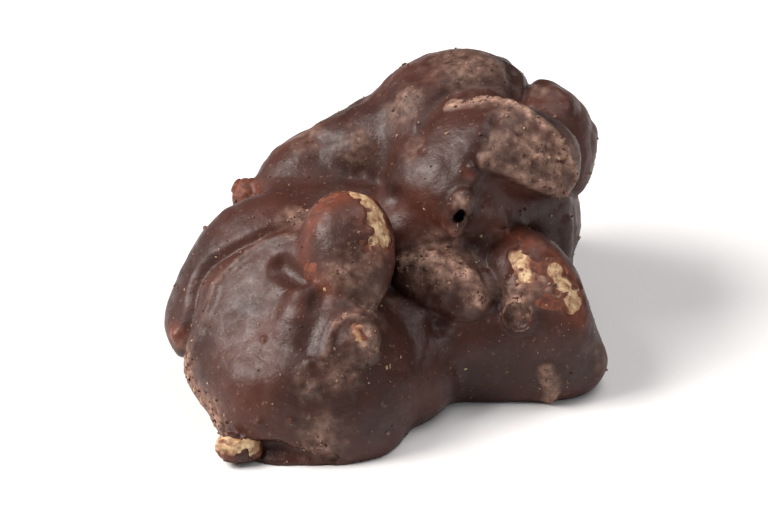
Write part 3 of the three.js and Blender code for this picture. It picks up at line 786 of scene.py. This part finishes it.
def crumb_form():
    """A round of 32 faces: the six ends of three axes and the midpoints of their twelve edges,
    pushed out to the same distance."""
    ends = np.concatenate([np.eye(3), -np.eye(3)])
    faces = []
    for signs in np.ndindex(2, 2, 2):
        flip = np.array(signs) * 3
        ring = np.arange(3) + flip
        faces.append(ring if sum(signs) % 2 == 0 else ring[::-1])
    pairs = sorted({tuple(sorted((face[n], face[n - 1]))) for face in faces for n in range(3)})
    middles = np.array([ends[a] + ends[b] for a, b in pairs]) / math.sqrt(2)
    index = {pair: 6 + n for n, pair in enumerate(pairs)}
    small = []
    for a, b, c in faces:
        ab, bc, ca = (index[tuple(sorted(pair))] for pair in ((a, b), (b, c), (c, a)))
        small += [(a, ab, ca), (b, bc, ab), (c, ca, bc), (ab, bc, ca)]
    return np.concatenate([ends, middles]), np.array(small)


draw = np.random.default_rng(7)
litter = np.zeros(len(coat_points))
for at, radius in LITTER:
    litter += np.exp(-((coat_points - np.array(at)) ** 2).sum(axis=1) / radius ** 2)
# How likely each point of the coat is to hold a crumb.
chance = 0.05 + coat_dust_and_light ** 2 + 0.7 * litter
chance[coat_points[:, 2] < CRUMB_LOWEST] = 0
seats = draw.choice(len(coat_points), CRUMBS, replace=False, p=chance / chance.sum())
form, form_faces = crumb_form()
size = (CRUMB_SMALLEST + CRUMB_SPREAD * draw.random(CRUMBS) ** 4)[:, None, None]
stretch = draw.uniform(0.4, 1.5, (CRUMBS, 1, 3))
spin = np.linalg.qr(draw.normal(size=(CRUMBS, 3, 3)))[0]
spin *= np.sign(np.linalg.det(spin))[:, None, None]
uneven = draw.uniform(0.6, 1.4, (CRUMBS, len(form), 1))
crumb_points = (form * size * stretch * uneven) @ spin + coat_points[seats][:, None]
crumb_faces = np.arange(CRUMBS)[:, None, None] * len(form) + form_faces
crumb_tone = np.repeat(draw.random(CRUMBS), len(form))
crumbs = new_piece("crumbs", crumb_points.reshape(-1, 3), crumb_faces.reshape(-1, 3),
                   {"tone": crumb_tone})
crumb_mix = bpy.data.materials.new("crumb_mix")
crumb_mix.use_nodes = True
tree = crumb_mix.node_tree
node(tree, "ShaderNodeTexCoord", name="place")
tone = node(tree, "ShaderNodeAttribute", attribute_name="tone").outputs["Fac"]
colour = mixed(tree, ranged(tree, tone, 0.3, 0.9, 0.0, 1.0), RED_BROWN, SPECK_TAN)
colour = mixed(tree, ranged(tree, tone, 0.92, 1.0, 0.0, 1.0), colour, CRUMB_PALE)
speckle = noise(tree, 0.0002)
bump = node(tree, "ShaderNodeBump", {"Height": speckle, "Strength": 0.5, "Distance": 0.0001})
finished(crumb_mix, colour, ranged(tree, speckle, 0.3, 0.7, 0.5, 0.7), bump.outputs["Normal"])
crumbs.data.materials.append(crumb_mix)
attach(crumbs, "root")

# ---- floor, light and camera ---------------------------------------------------------------
# A plain pale floor, one large soft light high on the left, one overhead, a weaker one on the
# right and a faint pale sky, and a long lens that looks down from the front.

FLOOR_SIDE = 3.0
FLOOR_GREY = 0.86
FLOOR_ROUGHNESS = 0.8
floor_mesh = bpy.data.meshes.new("floor")
edge = FLOOR_SIDE / 2
floor_corners = [(-edge, -edge, 0), (edge, -edge, 0), (edge, edge, 0), (-edge, edge, 0)]
floor_mesh.from_pydata(floor_corners, [], [(0, 1, 2, 3)])
floor = bpy.data.objects.new("floor", floor_mesh)
bpy.context.scene.collection.objects.link(floor)
paper = bpy.data.materials.new("pale_floor")
paper.use_nodes = True
paper_body = paper.node_tree.nodes["Principled BSDF"]
paper_body.inputs["Base Color"].default_value = (FLOOR_GREY, FLOOR_GREY, FLOOR_GREY, 1)
paper_body.inputs["Roughness"].default_value = FLOOR_ROUGHNESS
floor_mesh.materials.append(paper)

# Each light: place, side of its square, watts, colour.
LIGHTS = {
    "key": ((-0.46, -0.06, 0.44), 0.36, 7.0, (1.0, 0.95, 0.92)),
    "top": ((0.22, 0.10, 0.60), 0.45, 2.2, (1.0, 0.96, 0.94)),
    "fill": ((0.45, -0.30, 0.45), 0.50, 0.7, (1.0, 1.0, 1.0)),
}
LIT_PLACE = Vector((0, 0, 0.01))
for name, (place, side, watts, colour) in LIGHTS.items():
    light = bpy.data.lights.new(name, "AREA")
    light.size = side
    light.energy = watts
    light.color = colour
    lamp = bpy.data.objects.new(name, light)
    lamp.location = place
    lamp.rotation_euler = (LIT_PLACE - Vector(place)).to_track_quat("-Z", "Y").to_euler()
    bpy.context.scene.collection.objects.link(lamp)

SKY = (0.95, 0.96, 1.0, 1)
SKY_STRENGTH = 0.12
world = bpy.data.worlds.new("sky")
bpy.context.scene.world = world
world.use_nodes = True
world.node_tree.nodes["Background"].inputs["Color"].default_value = SKY
world.node_tree.nodes["Background"].inputs["Strength"].default_value = SKY_STRENGTH

ELEVATION = math.radians(32)
CAMERA_AWAY = 0.55
CAMERA_DROP = 0.0008    # how far the camera is moved down in its own picture
FRAME_WIDE = 0.0785     # how much the picture takes in from side to side at the cluster
SENSOR = 36.0
AIM = np.array([0.0, 0.0, 12.0]) + SHIFT
camera_data = bpy.data.cameras.new("camera")
camera_data.sensor_width = SENSOR
camera_data.lens = SENSOR * CAMERA_AWAY / FRAME_WIDE
camera = bpy.data.objects.new("camera", camera_data)
ahead = Vector((0, math.cos(ELEVATION), -math.sin(ELEVATION)))
above = Vector((0, math.sin(ELEVATION), math.cos(ELEVATION)))
camera.location = Vector(AIM * MM) - CAMERA_AWAY * ahead - CAMERA_DROP * above
camera.rotation_euler = ahead.to_track_quat("-Z", "Y").to_euler()
bpy.context.scene.collection.objects.link(camera)
bpy.context.scene.camera = camera
bpy.context.scene.view_settings.view_transform = "Standard"
